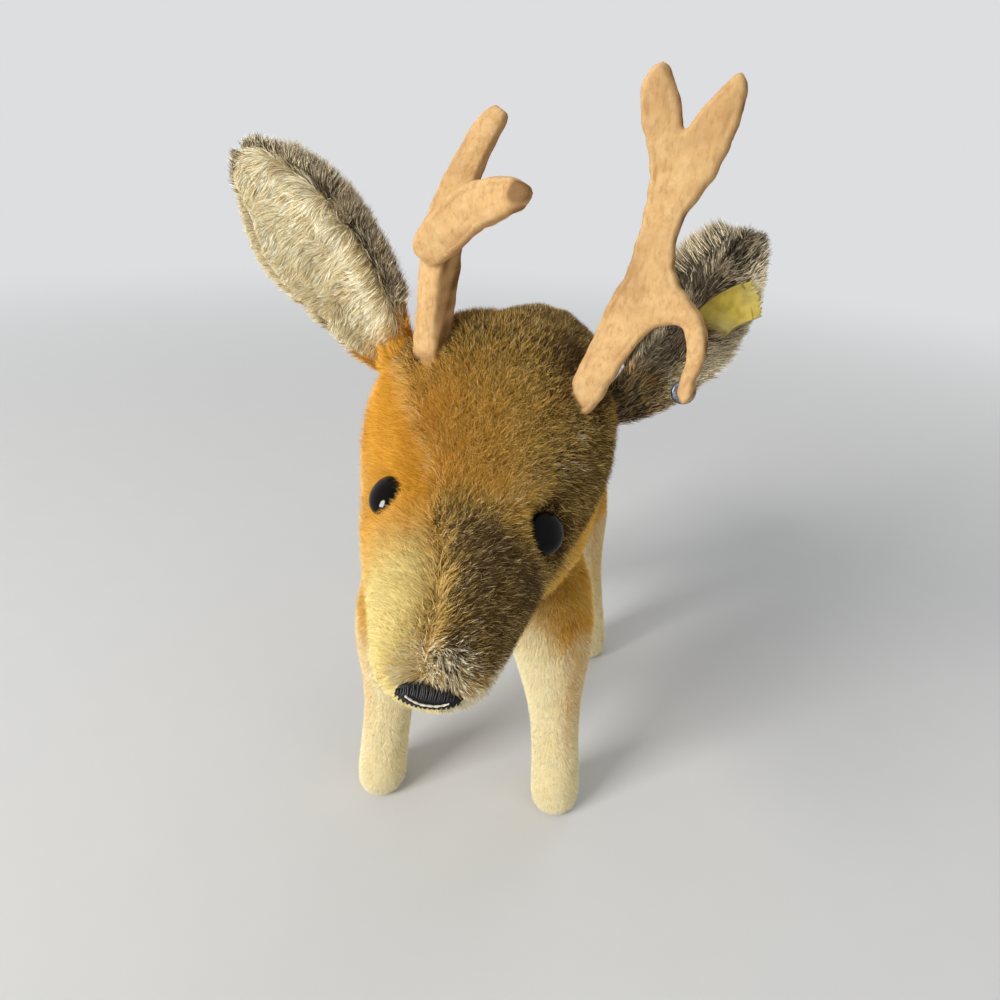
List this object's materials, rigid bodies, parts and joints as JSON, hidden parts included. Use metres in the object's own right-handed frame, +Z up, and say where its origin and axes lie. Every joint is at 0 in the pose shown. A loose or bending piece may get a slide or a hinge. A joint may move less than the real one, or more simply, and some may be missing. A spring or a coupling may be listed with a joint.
{
  "type": "plush deer",
  "caption": "Standing stuffed roe buck in short mohair with felt antlers that bend, sewn ears, black button eyes, stitched nose and an ear stud with a plain ribbon.",
  "frame": {"origin": "on the floor, under the middle of the standing deer's box", "axes": "+Z up, -Y ahead of the deer, where its head looks, +X to the deer's left"},
  "size_m": [0.1269, 0.2081, 0.2179],
  "materials": {
    "gold_mohair": "short golden orange mohair pile, brown on the forehead",
    "cream_mohair": "short pale gold mohair pile",
    "grey_mohair": "short grey-brown mohair pile, orange at the root",
    "cream_lining": "silky cream cloth",
    "wood_wool": "firm packed wood wool",
    "antler_felt": "fuzzy peach felt",
    "black_glass": "polished black glass",
    "steel_wire": "drawn wire",
    "black_thread": "satin stitched thread",
    "cream_thread": "cotton thread",
    "yellow_ribbon": "woven ribbon, plain, frayed at its end",
    "stud_metal": "dark blued metal"
  },
  "bodies": {
    "root": {"front_left_leg_cover": "cream_mohair", "front_left_leg_stuffing": "wood_wool", "front_left_leg_wire": "steel_wire", "front_right_leg_cover": "cream_mohair", "front_right_leg_stuffing": "wood_wool", "front_right_leg_wire": "steel_wire", "hind_left_leg_cover": "cream_mohair", "hind_left_leg_stuffing": "wood_wool", "hind_left_leg_wire": "steel_wire", "hind_right_leg_cover": "cream_mohair", "hind_right_leg_stuffing": "wood_wool", "hind_right_leg_wire": "steel_wire", "body_cover": "gold_mohair", "body_stuffing": "wood_wool", "head_cover": "gold_mohair", "head_stuffing": "wood_wool", "eye_left": "black_glass", "eye_right": "black_glass", "eye_wire_left": "steel_wire", "eye_wire_right": "steel_wire", "nose_embroidery": "black_thread", "mouth_thread": "cream_thread"},
    "left_ear": {"ear_back_left": "grey_mohair", "ear_lining_left": "cream_lining", "ear_stud": "stud_metal", "ear_stud_washer": "stud_metal"},
    "right_ear": {"ear_back_right": "grey_mohair", "ear_lining_right": "cream_lining"},
    "ribbon": {"ear_ribbon": "yellow_ribbon"},
    "left_antler": {"antler_left": "antler_felt", "antler_wire_left": "steel_wire"},
    "right_antler": {"antler_right": "antler_felt", "antler_wire_right": "steel_wire"},
    "scut": {"tail": "gold_mohair"}
  },
  "joints": [
    {"name": "left_ear_fold", "type": "hinge", "parent": "root", "child": "left_ear", "pos_m": [0.02333, -0.0175, 0.14036], "axis": [-0.4496, 0.8865, 0.1098], "range_deg": [-8, 15]},
    {"name": "right_ear_fold", "type": "hinge", "parent": "root", "child": "right_ear", "pos_m": [-0.02208, -0.02865, 0.15303], "axis": [0.7409, -0.0114, 0.6715], "range_deg": [-12, 15]},
    {"name": "ribbon_swivel", "type": "hinge", "parent": "left_ear", "child": "ribbon", "pos_m": [0.0443, -0.02367, 0.15067], "axis": [0.1673, -0.9822, 0.0858], "range_deg": [-10, 8]},
    {"name": "left_antler_bend", "type": "hinge", "parent": "root", "child": "left_antler", "pos_m": [0.02121, -0.03042, 0.14946], "axis": [0.9657, 0.1703, -0.1959], "range_deg": [-8, 8]},
    {"name": "right_antler_bend", "type": "hinge", "parent": "root", "child": "right_antler", "pos_m": [-0.01219, -0.03678, 0.15641], "axis": [0.9657, 0.1703, -0.1959], "range_deg": [-8, 8]},
    {"name": "tail_lift", "type": "hinge", "parent": "root", "child": "scut", "pos_m": [-0.0044, 0.09156, 0.13083], "axis": [1, 0, 0], "range_deg": [0, 20]}
  ]
}
